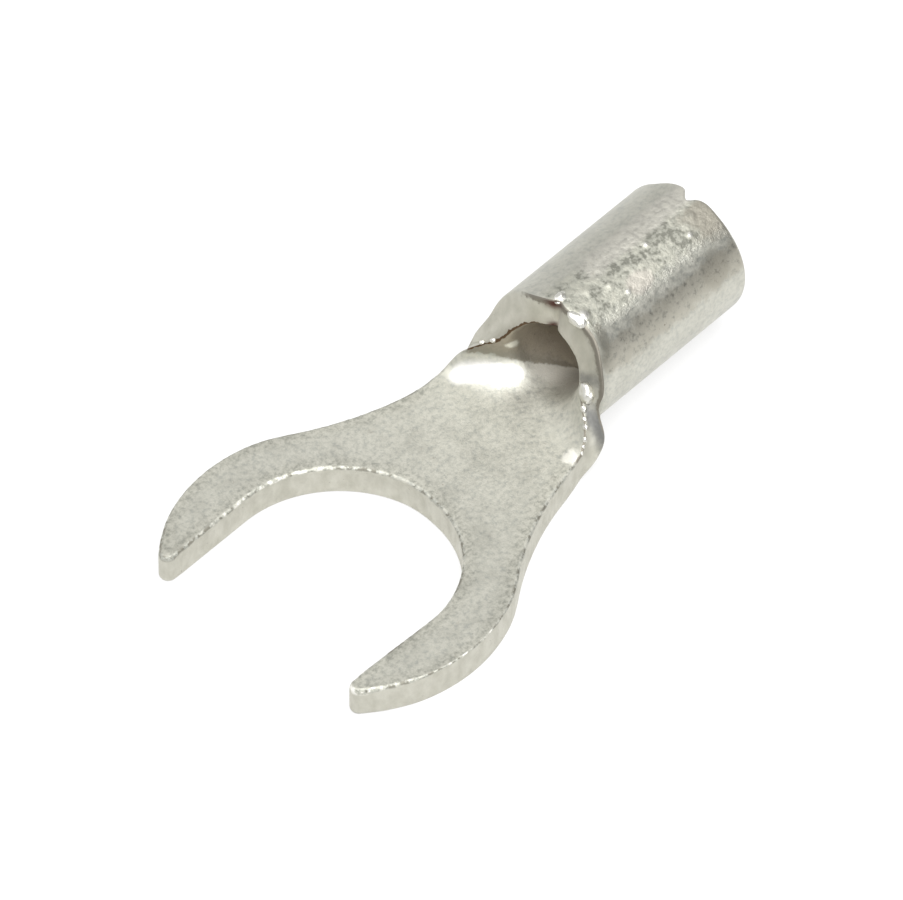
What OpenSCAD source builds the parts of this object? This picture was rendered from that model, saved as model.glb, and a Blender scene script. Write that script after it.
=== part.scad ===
// Bare fork terminal: one stamped strip of tinned copper, flat fork at one end, rolled barrel at the other.
// The stud slot's centre on the underside is the origin, +X runs to the wire end, +Z is up.

/* [Sheet] */
// Thickness of the sheet
sheet_t = 0.76; // [0.5:0.02:1.0]

/* [Fork] */
// Width of the slot between the tines, for the stud
slot_w = 5.3; // [4.3:0.1:6.0]
// Width over both tines, which is the diameter of the round fork head
fork_w = 7.66; // [7.2:0.02:9.0]
// Radius that rounds each tine's tip
tip_r = 0.14; // [0.06:0.02:0.26]

/* [Neck] */
// Narrowest width of the neck, measured along the sheet
neck_w = 3.8; // [3.2:0.05:4.4]
// Radius of the hollow sides that sweep from the head to the neck
neck_sweep_r = 8; // [5:0.5:14]
// Length over which the flat neck curls up to the barrel
curl_len = 1.1; // [0.8:0.05:2.0]
// Inside corner radius where the neck's edge turns into the barrel's front edge
neck_corner_r = 0.26; // [0.1:0.02:0.4]

/* [Barrel] */
// Distance from the slot's centre to the barrel's front edge
stud_to_barrel = 6.74; // [6.2:0.02:9]
// Length of the rolled barrel
barrel_len = 4.6; // [3.4:0.1:8]
// Diameter of the wire bore
bore_d = 1.76; // [1.4:0.02:2.6]
// Rounding of the barrel's rear outer edge
rear_round = 0.14; // [0.04:0.02:0.24]

/* [Seam] */
// Corner radius of the two rolled edges at the front end of the seam
seam_front_r = 0.34; // [0.1:0.02:0.5]
// Corner radius of the two rolled edges at the rear end of the seam
seam_rear_r = 0.18; // [0.06:0.02:0.3]
// Width of the shallow line left along the brazed seam
seam_line_w = 0.12; // [0.06:0.02:0.2]
// Depth of that line
seam_line_d = 0.05; // [0.02:0.01:0.1]

/* [Hidden] */
$fn = 96;
eps = 0.01;

slot_r = slot_w / 2;
head_r = fork_w / 2;
bore_r = bore_d / 2;
barrel_r = bore_r + sheet_t;
mid_r = bore_r + sheet_t / 2;
axis_z = barrel_r;
barrel_end = stud_to_barrel + barrel_len;
curl_start = stud_to_barrel - curl_len;
over = 4 * barrel_r;

// Centre of the arc that hollows the neck's side, tangent to the round head
sweep_y = neck_w / 2 + neck_sweep_r;
sweep_x = sqrt(pow(head_r + neck_sweep_r, 2) - pow(sweep_y, 2));
sweep_touch = sweep_x * head_r / (head_r + neck_sweep_r);

// Centre of the tip's rounding, tangent to the slot's edge and to the head's arc
tip_y = slot_r + tip_r;
tip_x = -sqrt(pow(head_r - tip_r, 2) - pow(tip_y, 2));
tip_touch = [tip_x, tip_y] * head_r / (head_r - tip_r);

// Stations along the curled neck, strips across its section and strips across its cut edge
stations = 20;
strips = 28;
edge_strips = 3;

// Half width of the neck along the sheet: the hollow side, then the corner that opens into the barrel's edge
function side_at(x) = sweep_y - sqrt(pow(neck_sweep_r, 2) - pow(max(sweep_x - x, 0), 2));
function corner_at(x) = let (d = max(x - stud_to_barrel + neck_corner_r, 0))
    neck_corner_r - sqrt(max(pow(neck_corner_r, 2) - d * d, 0));
function half_at(x) = side_at(x) + corner_at(x);

// Curvature of the section: none at the flat neck, the barrel's own at its front edge
function ease(u) = u * u * (3 - 2 * u);
function bend_at(x) = ease(min(max((x - curl_start) / curl_len, 0), 1)) / mid_r;

// Point of the sheet: s along the section from its middle, n above the middle surface
function on_sheet(x, s, n) = let (k = bend_at(x), a = s * k * 180 / PI)
    k < 0.0001 ? [x, s, sheet_t / 2 + n]
    : [x, sin(a) / k - n * sin(a), sheet_t / 2 + (1 - cos(a)) / k + n * cos(a)];

// Stations crowd towards the barrel, where the sheet turns fastest, and the first lies just inside the tongue
function station_x(i) = curl_start - eps + curl_len * sin(90 * i / stations);

// Closed ring of one section: upper side from right to left, down the cut edge, underside back, up the other edge
function ring(x, w, t) = concat(
    [for (j = [0 : strips]) on_sheet(x, w * (2 * j / strips - 1), t / 2)],
    [for (j = [1 : edge_strips - 1]) on_sheet(x, w, t / 2 - t * j / edge_strips)],
    [for (j = [strips : -1 : 0]) on_sheet(x, w * (2 * j / strips - 1), -t / 2)],
    [for (j = [1 : edge_strips - 1]) on_sheet(x, -w, t * j / edge_strips - t / 2)]);

// The rings of the trough, with thinner ones at both ends that root it in the tongue and in the barrel's wall
trough_rings = concat(
    [for (d = [0.7, 0.2]) ring(curl_start - d * sheet_t, neck_w / 2 - sheet_t / 4, sheet_t / 2)],
    [for (i = [0 : stations]) let (in = i == 0 || i == stations ? eps : 0)
        ring(station_x(i), half_at(station_x(i)) - in / 2, sheet_t - in)],
    [for (d = [0.12, 0.4]) ring(stud_to_barrel + d * sheet_t, neck_w / 2, sheet_t / 2)]);

// Faces that close one end of the trough, strip by strip, with a fan at each cut edge
ring_n = 2 * (strips + edge_strips);
function under(j) = 2 * strips + edge_strips - j;
end_faces = concat(
    [for (j = [1 : strips - 2]) each [[j, j + 1, under(j + 1)], [j, under(j + 1), under(j)]]],
    [for (j = [strips - 1 : under(strips) - 1]) [j, j + 1, under(strips - 1)]],
    [for (j = [under(1) : ring_n - 1]) [1, j, (j + 1) % ring_n]]);

module trough() {
    n = ring_n;
    last = len(trough_rings) - 1;
    walls = [for (i = [0 : last - 1], j = [0 : n - 1])
        let (a = i * n + j, b = i * n + (j + 1) % n)
        each [[a, b, b + n], [a, b + n, a + n]]];
    last_cap = [for (f = end_faces) f + [1, 1, 1] * last * n];
    first_cap = [for (f = end_faces) [f[2], f[1], f[0]]];
    polyhedron(points = [for (r = trough_rings) each r], faces = concat(walls, first_cap, last_cap), convexity = 6);
}

// Flat outline of the fork and the flat stretch of the neck
module neck_outline() {
    difference() {
        translate([0, -head_r]) square([curl_start, 2 * head_r]);
        for (side = [-1, 1]) {
            translate([sweep_x, side * sweep_y]) circle(r = neck_sweep_r, $fn = 240);
            // The stretch beyond the head that lies outside the sweep's arc
            scale([1, side]) polygon([
                [-head_r, head_r * sweep_y / (head_r + neck_sweep_r)],
                [sweep_touch, head_r * sweep_y / (head_r + neck_sweep_r)],
                [sweep_x, sweep_y], [sweep_x, 2 * sweep_y], [-head_r, 2 * sweep_y]]);
        }
    }
}

module fork_outline() {
    difference() {
        union() {
            circle(r = head_r, $fn = 180);
            neck_outline();
        }
        circle(r = slot_r, $fn = 180);
        translate([-2 * head_r, -slot_r]) square([2 * head_r, slot_w]);
        for (side = [-1, 1]) scale([1, side]) tip_waste();
    }
}

// What is trimmed off a tine's sharp end, leaving its round tip
module tip_waste() {
    difference() {
        polygon([[tip_x, slot_r - eps], [tip_x, slot_r], tip_touch,
            tip_touch * 1.1, [-2 * head_r, head_r], [-2 * head_r, slot_r - eps]]);
        translate([tip_x, tip_y]) circle(r = tip_r, $fn = 48);
    }
}

module tongue() {
    linear_extrude(sheet_t) fork_outline();
}

// Wall of the barrel from its front edge to its rounded rear edge
module barrel_wall() {
    translate([stud_to_barrel, 0, axis_z]) rotate([0, 90, 0]) difference() {
        union() {
            cylinder(r = barrel_r, h = barrel_len - rear_round);
            cylinder(r = barrel_r - rear_round, h = barrel_len);
            translate([0, 0, barrel_len - rear_round])
                rotate_extrude() translate([barrel_r - rear_round, 0]) circle(r = rear_round, $fn = 48);
        }
        translate([0, 0, -1]) cylinder(r = bore_r, h = barrel_len + 2);
    }
}

// Gap between two rounded corners that meet at a seam, opening to -X
module seam_gap(r) {
    translate([0, 0, axis_z]) linear_extrude(over) difference() {
        translate([-r, -r]) square([2 * r, 2 * r]);
        for (side = [-1, 1]) translate([r, side * r]) circle(r = r, $fn = 48);
        translate([r, -2 * r]) square([r, 4 * r]);
    }
}

module barrel() {
    difference() {
        barrel_wall();
        translate([stud_to_barrel, 0, 0]) seam_gap(seam_front_r);
        translate([barrel_end, 0, 0]) rotate([0, 0, 180]) seam_gap(seam_rear_r);
        translate([stud_to_barrel - 1, -seam_line_w / 2, axis_z + barrel_r - seam_line_d])
            cube([barrel_len + 2, seam_line_w, over]);
    }
}

module fork_terminal() {
    color("#c4c3b8") union() {
        tongue();
        trough();
        barrel();
    }
}

fork_terminal();
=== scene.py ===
import math

import bmesh
import bpy
import numpy as np
from mathutils import Matrix, Vector, noise


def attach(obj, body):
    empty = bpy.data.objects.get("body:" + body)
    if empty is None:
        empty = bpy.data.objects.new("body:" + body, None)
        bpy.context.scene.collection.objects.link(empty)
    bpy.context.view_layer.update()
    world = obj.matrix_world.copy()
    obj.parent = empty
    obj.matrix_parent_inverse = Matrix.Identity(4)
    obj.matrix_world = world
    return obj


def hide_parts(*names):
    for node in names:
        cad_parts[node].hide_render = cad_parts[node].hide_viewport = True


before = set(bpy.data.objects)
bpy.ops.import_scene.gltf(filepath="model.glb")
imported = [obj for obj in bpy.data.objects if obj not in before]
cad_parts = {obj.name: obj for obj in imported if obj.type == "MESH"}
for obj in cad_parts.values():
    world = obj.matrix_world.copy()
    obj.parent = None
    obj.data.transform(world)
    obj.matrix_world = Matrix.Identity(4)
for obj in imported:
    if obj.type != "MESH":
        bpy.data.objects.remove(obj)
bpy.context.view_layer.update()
scene = bpy.context.scene
scene.view_settings.view_transform = "Standard"
mm = 0.001
print("stage: frame loaded with", len(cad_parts), "piece")


# the flat blank, in mm: x runs from the stud slot to the wire end, s across the flat sheet
blank = {
    "stock": 0.76,  # sheet thickness
    "headRadius": 3.83,
    "tipRadius": 0.2,  # nose of each tine
    "slot": {"left": (2.65, 2.65), "right": (2.61, 2.51)},  # half width at the seat and at the mouth
    "sweepRadius": 8.0,  # hollow side of the neck
    "sweepCentre": (6.475, 9.9),
    "sweepEnd": 4.5,
    "midRadius": 1.26,  # middle of the barrel's wall
    "midBarrel": 8.5,  # parts the edges of the front end from those of the rear end
    "rearX": 11.34,
    "joinX": {"left": 6.3, "right": 6.36},  # tongue and barrel meshes meet here
    "neckFrom": (2.04, 3.11),  # the tine's rows give way to the neck's here
}

# edge of the blank after the swept side, as (x, distance from the middle line)
neckEdge = {
    "left": [(5.0, 2.066), (5.5, 2.06), (5.9, 2.035), (6.2, 1.965), (6.38, 2.02), (6.54, 2.26),
             (6.65, 2.58), (6.72, 3.0), (6.74, 3.4), (6.765, 3.66), (6.8, 3.8), (6.85, 3.92), (6.9, 4.01)],
    "right": [(5.0, 2.04), (5.5, 1.93), (5.82, 1.925), (6.06, 1.955), (6.25, 1.965), (6.42, 2.04),
              (6.57, 2.22), (6.67, 2.48), (6.72, 2.78), (6.735, 3.05), (6.74, 3.3), (6.765, 3.54),
              (6.81, 3.69), (6.86, 3.77)],
    "seamFront": (6.93, 4.07),  # bottom of the notch at the front of the seam
    # notch at the rear of the seam
    "rear": [(11.34, 3.6), (11.34, 3.8), (11.32, 3.85), (11.2, 3.92), (11.1, 4.02), (11.09, 4.07),
             (11.15, 4.13), (11.25, 4.2), (11.315, 4.3), (11.335, 4.45), (11.34, 4.6), (11.34, 4.8)],
    "rearSlant": 0.05,  # right side of the rear end stands a little further back
}

# rounding of the stamped edge, in mm: how far in it starts, how deep it goes above and below
edgeRound = {
    "tongue": (0.08, 0.08, 0.06),
    "front": (0.06, 0.06, 0.05),
    "seam": (0.035, 0.04, 0.04),
    "rear": (0.2, 0.07, 0.22),
    "tip": (0.0, 0.09, 0.05),  # added at the ends of the tines
    "frontAlong": (5.6, 6.6),  # where one rounding gives way to the next
    "seamAcross": (3.3, 3.7),
    "tipAlong": (-2.0, -2.45),
    "notchMiddle": 3.95,
    "notchReach": (0.75, 0.25),
    "sharpRight": 0.5,  # the right of the rear edge is this much sharper
    "sharpAcross": (0.0, 2.0),
    "rag": 0.026,  # unevenness of the rim
    "ragNoise": [(0.7, 4, 3.1), (1.0, 10, 8.4)],  # strength, waves per mm, layer of the noise
    "ragFront": 1.3,  # so much more of it at the front cut
    "ragAlong": (5.9, 6.2),
    "lowRimShare": 0.4,  # how much of the lower rim's tone the strip above it has
}

# quads along each run of the mesh, then points along the lines they are spaced on
meshCount = {
    "tine": 84, "neck": 112, "join": 60, "across": 32, "wing": 130, "length": 96, "round": 5, "wall": 6,
    "headArc": 160, "sweepArc": 90, "slotArc": 20, "outline": 1600,
}

# how the tongue's rows run from the slot to the outer edge
rowLayout = {
    "slotTurn": (90, 60, 9),  # degrees round the slot where the rows of tine, neck and joint begin
    "neckCrowd": 1.35,  # above 1 the rows come closer together towards the end
    "acrossCrowd": 1.2,
    "kneeAt": 0.8,  # rows turn square to the outer edge here
    "kneeGap": 0.35,  # and this far inside it
    "kneeEase": 0.35,  # share of the neck over which the turn comes in
    "evenReach": 24,  # rows over which the line of the turn is evened
    "evenWidth": 9.0,
    "sweepLap": 6,  # points of the sweep that the curve after it takes over
}

fullTurn = 2 * math.pi * blank["midRadius"]
outerRadius = blank["midRadius"] + blank["stock"] / 2


def smoothStep(value, low, high):
    t = np.clip((value - low) / (high - low), 0, 1)
    return t * t * (3 - 2 * t)


def softStep(value, low, high):
    t = np.clip((value - low) / (high - low), 0, 1)
    return t * t * t * (t * (t * 6 - 15) + 10)


def reach(value, span):
    # rises over a pair, or falls where the pair runs down; with four values it rises and then falls
    out = smoothStep(value, *span[:2])
    return out * (1 - smoothStep(value, *span[2:])) if len(span) == 4 else out


def arcPoints(centre, radius, start, end, count):
    a = np.radians(np.linspace(start, end, count))
    return np.c_[centre[0] + radius * np.cos(a), centre[1] + radius * np.sin(a)]


def curveThrough(points, perSpan=24):
    # smooth curve through the points, pulled tight so it does not overshoot
    p = np.array(points, float)
    p = np.vstack([2 * p[0] - p[1], p, 2 * p[-1] - p[-2]])
    out = []
    for i in range(1, len(p) - 2):
        d = [max(np.linalg.norm(p[i + k] - p[i + k - 1]), 1e-6) ** 0.5 for k in range(3)]
        t0, t1, t2, t3 = 0, d[0], d[0] + d[1], d[0] + d[1] + d[2]
        t = np.linspace(t1, t2, perSpan, endpoint=False)[:, None]
        a1 = (t1 - t) / (t1 - t0) * p[i - 1] + (t - t0) / (t1 - t0) * p[i]
        a2 = (t2 - t) / (t2 - t1) * p[i] + (t - t1) / (t2 - t1) * p[i + 1]
        a3 = (t3 - t) / (t3 - t2) * p[i + 1] + (t - t2) / (t3 - t2) * p[i + 2]
        b1 = (t2 - t) / (t2 - t0) * a1 + (t - t0) / (t2 - t0) * a2
        b2 = (t3 - t) / (t3 - t1) * a2 + (t - t1) / (t3 - t1) * a3
        out.append((t2 - t) / (t2 - t1) * b1 + (t - t1) / (t2 - t1) * b2)
    return np.vstack(out + [p[-2:-1]])


def resample(line, count, crowd=1.0):
    # crowd above 1 brings the points closer together towards the end
    step = np.r_[0, np.cumsum(np.hypot(*np.diff(line, axis=0).T))]
    at = step[-1] * (1 - (1 - np.linspace(0, 1, count)) ** crowd)
    return np.c_[np.interp(at, step, line[:, 0]), np.interp(at, step, line[:, 1])]


def headings(line):
    heading = np.gradient(line, axis=0)
    return heading / np.maximum(np.hypot(*heading.T), 1e-9)[:, None]


def edgeSizes(x, s):
    # rounding at a point of the blank's edge: start, depth above, depth below
    atFront = reach(x, edgeRound["frontAlong"])
    atSeam = reach(np.abs(s), edgeRound["seamAcross"]) * (x < blank["midBarrel"])
    atRear = (x > blank["midBarrel"]).astype(float)
    atTip = reach(x, edgeRound["tipAlong"])
    nearNotch = atRear * reach(np.abs(np.abs(s) - edgeRound["notchMiddle"]), edgeRound["notchReach"])
    sharp = edgeRound["sharpRight"] * atRear * reach(-s, edgeRound["sharpAcross"])
    nearNotch = 1 - (1 - nearNotch) * (1 - sharp)
    out = []
    for i in range(3):
        e = edgeRound["tongue"][i] * (1 - atFront) + edgeRound["front"][i] * atFront
        e = e * (1 - atSeam) + edgeRound["seam"][i] * atSeam
        e = e * (1 - atRear) + edgeRound["rear"][i] * atRear + edgeRound["tip"][i] * atTip
        out.append(e * (1 - nearNotch) + edgeRound["seam"][i] * nearNotch)
    return out


def insetLine(line):
    # moves the outline in by the start of its rounding
    heading = headings(line)
    inward = np.c_[heading[:, 1], -heading[:, 0]]
    return line + inward * edgeSizes(line[:, 0], line[:, 1])[0][:, None]


def tipPlace(sideName):
    # centre of the tine's nose, and its bearing from the stud in degrees
    y = blank["slot"][sideName][1] + blank["tipRadius"]
    x = -math.sqrt((blank["headRadius"] - blank["tipRadius"]) ** 2 - y * y)
    return x, y, math.degrees(math.atan2(y, x))


def outerEdge(sideName):
    # from the tip of a tine round the head and neck to the seam, s kept positive
    cx, cy = blank["sweepCentre"]
    meet = math.degrees(math.atan2(cy, cx))
    head = arcPoints((0, 0), blank["headRadius"], tipPlace(sideName)[2], meet, meshCount["headArc"])
    endAngle = math.degrees(math.asin((blank["sweepEnd"] - cx) / blank["sweepRadius"]))
    sweep = arcPoints((cx, cy), blank["sweepRadius"], meet - 180, endAngle - 90, meshCount["sweepArc"])
    seamX, seamS = neckEdge["seamFront"]
    seamEnd = (seamX, seamS if sideName == "left" else fullTurn - seamS)
    lap = rowLayout["sweepLap"]
    rest = curveThrough([tuple(sweep[-lap]), tuple(sweep[-1])] + neckEdge[sideName] + [seamEnd])
    return resample(np.vstack([head, sweep[1:-lap], rest]), meshCount["outline"])


# the two outer edges, inset, split at the head and where the barrel begins
edges = {}
for sideName in ("left", "right"):
    ring = insetLine(outerEdge(sideName))
    cross = np.argmax(ring[:, 0] > blank["joinX"][sideName])
    meet = np.argmin(np.hypot(*(ring - blank["neckFrom"]).T))
    edges[sideName] = {
        "tine": resample(ring[:meet + 1], meshCount["tine"] + 1),
        "neck": resample(ring[meet:cross + 1], meshCount["neck"] + 1, rowLayout["neckCrowd"]),
        "wing": ring[cross:],
        "join": ring[cross],
    }

flip = np.array([1, -1])
joinLine = np.linspace(edges["left"]["join"], edges["right"]["join"] * flip, meshCount["join"] + 1)
outerRing = np.vstack([
    edges["left"]["tine"], edges["left"]["neck"][1:],
    joinLine[1:-1],
    edges["right"]["neck"][::-1] * flip, (edges["right"]["tine"][::-1] * flip)[1:],
])
joinStart = meshCount["tine"] + meshCount["neck"]
joinEnd = joinStart + meshCount["join"]
eTongue = edgeRound["tongue"][0]
tineTurn, neckTurn, joinTurn = rowLayout["slotTurn"]


def slotSide(sideName):
    # matching points along the slot, so that each row of the tongue runs from slot to outer edge
    seat, mouth = (k + eTongue for k in blank["slot"][sideName])
    tineArc = arcPoints((0, 0), 1, tineTurn, neckTurn, meshCount["slotArc"])[1:] * seat
    neckArc = arcPoints((0, 0), 1, neckTurn, joinTurn, meshCount["neck"] + 1)[1:] * seat
    tine = np.vstack([[[tipPlace(sideName)[0], mouth], [0, seat]], tineArc])
    return np.vstack([resample(tine, meshCount["tine"] + 1), neckArc])


leftSlot, rightSlot = slotSide("left"), slotSide("right") * flip
seatAngle = np.radians(np.linspace(joinTurn, -joinTurn, meshCount["join"] + 1))[1:-1]
seatRadius = np.linspace(np.hypot(*leftSlot[-1]), np.hypot(*rightSlot[-1]), meshCount["join"] + 1)[1:-1]
slotSeat = np.c_[np.cos(seatAngle), np.sin(seatAngle)] * seatRadius[:, None]
slotRing = np.vstack([leftSlot, slotSeat, rightSlot[::-1]])
v = np.linspace(0, 1, meshCount["across"] + 1)
v = 1 - (1 - v) ** rowLayout["acrossCrowd"]


def kneeLine(sideName):
    # an evened copy of the neck's edge, set in by the gap
    line = edges[sideName]["neck"]
    far, gap = rowLayout["evenReach"], rowLayout["kneeGap"]
    share = np.exp(-0.5 * (np.arange(-far, far + 1) / rowLayout["evenWidth"]) ** 2)
    ends = [2 * line[0] - line[far:0:-1], line, 2 * line[-1] - line[-2:-far - 2:-1]]
    even = np.stack([np.convolve(k, share / share.sum(), "valid") for k in np.vstack(ends).T], -1)
    heading = headings(even)
    inside = even + np.c_[heading[:, 1], -heading[:, 0]] * gap
    inside = inside[inside[:, 0] < line[-1, 0] - gap]
    return resample(inside, len(line), rowLayout["neckCrowd"])


kneeAt = rowLayout["kneeAt"]
knee = slotRing + (outerRing - slotRing) * kneeAt
leftKnee, rightKnee = kneeLine("left"), kneeLine("right") * flip
ease = smoothStep(np.linspace(0, 1, len(leftKnee)), 0, rowLayout["kneeEase"])[:, None]
leftRun = slice(meshCount["tine"], joinStart + 1)
rightRun = slice(joinEnd, joinEnd + len(rightKnee))
knee[leftRun] += (leftKnee - knee[leftRun]) * ease
knee[rightRun] += (rightKnee[::-1] - knee[rightRun]) * ease[::-1]
knee[joinStart:joinEnd + 1] = np.linspace(leftKnee[-1], rightKnee[-1], meshCount["join"] + 1)
early = np.clip(v / kneeAt, 0, 1)[None, :, None]
late = np.clip((v - kneeAt) / (1 - kneeAt), 0, 1)[None, :, None]
tongue = slotRing[:, None] + (knee - slotRing)[:, None] * early + (outerRing - knee)[:, None] * late
for sideName, row, turn in (("left", 0, 1), ("right", -1, -1)):
    tipX, tipY, tipAngle = tipPlace(sideName)
    nose = arcPoints((tipX, tipY), blank["tipRadius"] - eTongue, 270, tipAngle, len(v))
    tongue[row] = nose * np.array([1, turn])

# barrel: columns once round from the left joint over the seam to the right joint, then back underneath
rightWing = edges["right"]["wing"].copy()
rightWing[:, 1] = fullTurn - rightWing[:, 1]
front = np.vstack([edges["left"]["wing"], rightWing[::-1]])
front = front[np.argsort(front[:, 1], kind="stable")]
lowQ, highQ = edges["left"]["join"][1], fullTurn - edges["right"]["join"][1]
w = np.linspace(-1, 1, meshCount["wing"] + 1)
seamQ = neckEdge["seamFront"][1]
crowded = np.sign(w) * np.abs(w) ** rowLayout["neckCrowd"]
wingQ = seamQ + np.where(w < 0, seamQ - lowQ, highQ - seamQ) * crowded
under = joinLine[::-1][1:-1]
columnQ = np.r_[wingQ, under[:, 1] + fullTurn]
frontX = np.r_[np.interp(wingQ, front[:, 1], front[:, 0]), under[:, 0]]
frontX[0], frontX[len(wingQ) - 1] = edges["left"]["join"][0], edges["right"]["join"][0]
rearLine = curveThrough(neckEdge["rear"])
rearTrue = np.interp(columnQ, rearLine[:, 1], rearLine[:, 0], left=blank["rearX"], right=blank["rearX"])
rearTrue = rearTrue + neckEdge["rearSlant"] * np.clip(-np.sin(columnQ / blank["midRadius"]), 0, 1)
columnS = np.where(columnQ > fullTurn / 2, columnQ - fullTurn, columnQ)
rearX = rearTrue - edgeSizes(np.full(len(columnQ), blank["rearX"]), columnS)[0]
along = np.linspace(0, 1, meshCount["length"] + 1)
barrel = np.stack([frontX[None] + (rearX - frontX)[None] * along[:, None],
                   np.repeat(columnS[None], len(along), 0)], -1)
print("stage: blank laid out,", tongue.shape, barrel.shape)

# one list of sheet points, shared where the tongue runs into the barrel
rows, across = tongue.shape[:2]
tongueId = np.arange(rows * across).reshape(rows, across)
barrelId = np.zeros(barrel.shape[:2], int)
shared = tongueId[joinStart:joinEnd + 1, -1]
nWing = len(wingQ)
barrelId[0, 0], barrelId[0, nWing - 1] = shared[0], shared[-1]
barrelId[0, nWing:] = shared[::-1][1:-1]
free = np.ones(barrelId.shape, bool)
free[0, 0] = free[0, nWing - 1] = False
free[0, nWing:] = False
barrelId[free] = rows * across + np.arange(free.sum())
points = np.vstack([tongue.reshape(-1, 2), barrel[free]])


def gridQuads(ids):
    return np.stack([ids[:-1, :-1], ids[1:, :-1], ids[1:, 1:], ids[:-1, 1:]], -1).reshape(-1, 4)


def edgeLoops(faces):
    # closed runs of edges that only one face uses
    pairs = np.vstack([faces[:, [i, (i + 1) % 4]] for i in range(4)])
    key = np.sort(pairs, 1)
    _, index, count = np.unique(key, axis=0, return_index=True, return_counts=True)
    nextOf = dict(pairs[index[count == 1]].tolist())
    loops = []
    while nextOf:
        start, at = next(iter(nextOf.items()))
        nextOf.pop(start)
        loop = [start]
        while at != start:
            loop.append(at)
            at = nextOf.pop(at)
        loops.append(np.array(loop))
    return loops


def unwrap(d):
    return (d + fullTurn / 2) % fullTurn - fullTurn / 2


def edgeSteps(start, above, below, rag):
    # the strips from the top face over the edge to the underside
    # each: how far out, height, then the rim, wall and lower rim masks
    half = blank["stock"] / 2
    quarter = [math.pi / 2 * i / meshCount["round"] for i in range(1, meshCount["round"] + 1)]
    steps = []
    for t in quarter:
        height = half - (above + rag) * (1 - math.cos(t))
        steps.append((start * math.sin(t), height, math.sin(2 * t), math.sin(t) ** 3, 0))
    for i in range(1, meshCount["wall"]):
        t = i / meshCount["wall"]
        height = (half - above - rag) * (1 - t) + (below - half) * t
        steps.append((start, height, 0, 1, edgeRound["lowRimShare"] if i == meshCount["wall"] - 1 else 0))
    for t in reversed(quarter):
        height = below * (1 - math.cos(t)) - half
        steps.append((start * math.sin(t), height, 0, math.sin(t) ** 3, 1))
    return steps


quads = np.vstack([gridQuads(tongueId), gridQuads(np.c_[barrelId, barrelId[:, :1]])])
loops = edgeLoops(quads)
print("stage: edge loops", [len(k) for k in loops])
count = len(points)
stock = blank["stock"]
sheet = [np.c_[points, np.full(count, stock / 2)], np.c_[points, np.full(count, -stock / 2)]]
edgeMasks = [np.zeros((2 * count, 3))]
faces = [quads, quads[:, ::-1] + count]
nextId = 2 * count
for loop in loops:
    p = points[loop]
    step = np.roll(p, -1, 0) - np.roll(p, 1, 0)
    step[:, 1] = unwrap(step[:, 1])
    step /= np.maximum(np.hypot(*step.T), 1e-9)[:, None]
    out = np.c_[step[:, 1], -step[:, 0]]
    rag = np.array([sum(strength * noise.noise(Vector((q[0] * waves, q[1] * waves, layer)))
                        for strength, waves, layer in edgeRound["ragNoise"]) for q in p])
    atFront = reach(p[:, 0], edgeRound["ragAlong"]) * (p[:, 0] < blank["midBarrel"])
    rag *= edgeRound["rag"] * (1 + edgeRound["ragFront"] * atFront)
    previous = loop
    for o, n, *maskValues in edgeSteps(*edgeSizes(p[:, 0], p[:, 1]), rag):
        q = p + out * np.broadcast_to(o, len(p))[:, None]
        sheet.append(np.c_[q, np.broadcast_to(n, len(p))])
        edgeMasks.append(np.tile(maskValues, (len(p), 1)))
        current = nextId + np.arange(len(p))
        nextId += len(p)
        faces.append(np.stack([previous, current, np.roll(current, -1), np.roll(previous, -1)], -1))
        previous = current
    last = loop + count
    faces.append(np.stack([previous, last, np.roll(last, -1), np.roll(previous, -1)], -1))
sheet, faces = np.vstack(sheet), np.vstack(faces)
rim, wall, lowRim = np.vstack(edgeMasks).T

# how each side rolls up from the flat tongue into the barrel, and where the roll went a little astray
roll = {
    "left": {"top": (5.35, 6.95), "under": (6.0, 6.58), "lean": 0.4},
    "right": {"top": (5.344, 6.978), "under": (5.38, 6.84), "lean": 0.03},
    "blend": 0.8,  # half width of the middle, which both sides share
    "slices": 48,  # steps of the roll across the sheet
    "leanAcross": (1.5, 2.2, 2.8, 3.6),  # the front cut leans back here
    "leanAlong": (5.6, 6.5, 6.9, 7.6),
    "rimLift": 0.14,  # the left rim stands up before the barrel
    "liftAcross": (1.2, 2.05),
    "liftAlong": (5.6, 6.15, 6.25, 6.6),
    "setBack": 0.16,  # outer edge of the front cut, from the seam down the right side
    "backAcross": (4.0, 4.5, 4.8, 5.5),
    "backAlong": (6.1, 6.7, 6.95, 7.7),
}


def rolled(sideName, x, f):
    # share of the roll reached at x, f = 0 on the underside and 1 on top
    top, under = roll[sideName]["top"], roll[sideName]["under"]
    return softStep(x, under[0] + (top[0] - under[0]) * f, under[1] + (top[1] - under[1]) * f)


def rollSheet(x, s, n):
    # each section is an arc that closes towards the barrel
    f = np.clip(n / stock + 0.5, 0, 1)
    part = s[:, None] * ((np.arange(roll["slices"]) + 0.5) / roll["slices"])[None]
    weight = smoothStep(part, -roll["blend"], roll["blend"])
    bend = rolled("left", x, f)[:, None] * weight + rolled("right", x, f)[:, None] * (1 - weight)
    ds = (s / roll["slices"])[:, None]
    angle = np.cumsum(bend / blank["midRadius"] * ds, 1)
    mid = angle - bend / blank["midRadius"] * ds / 2
    y, z, last = (np.cos(mid) * ds).sum(1), (np.sin(mid) * ds).sum(1) + stock / 2, angle[:, -1]
    lean = np.where(s > 0, roll["left"]["lean"], roll["right"]["lean"])
    lean = lean * reach(np.abs(s), roll["leanAcross"]) * reach(x, roll["leanAlong"])
    lift = roll["rimLift"] * f * reach(s, roll["liftAcross"]) * reach(x, roll["liftAlong"])
    q = np.where(s < 0, s + fullTurn, s)
    back = roll["setBack"] * (1 - f) * reach(q, roll["backAcross"]) * reach(x, roll["backAlong"])
    return np.c_[x - n * lean + back, y - n * np.sin(last), z + n * np.cos(last) + lift]


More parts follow.
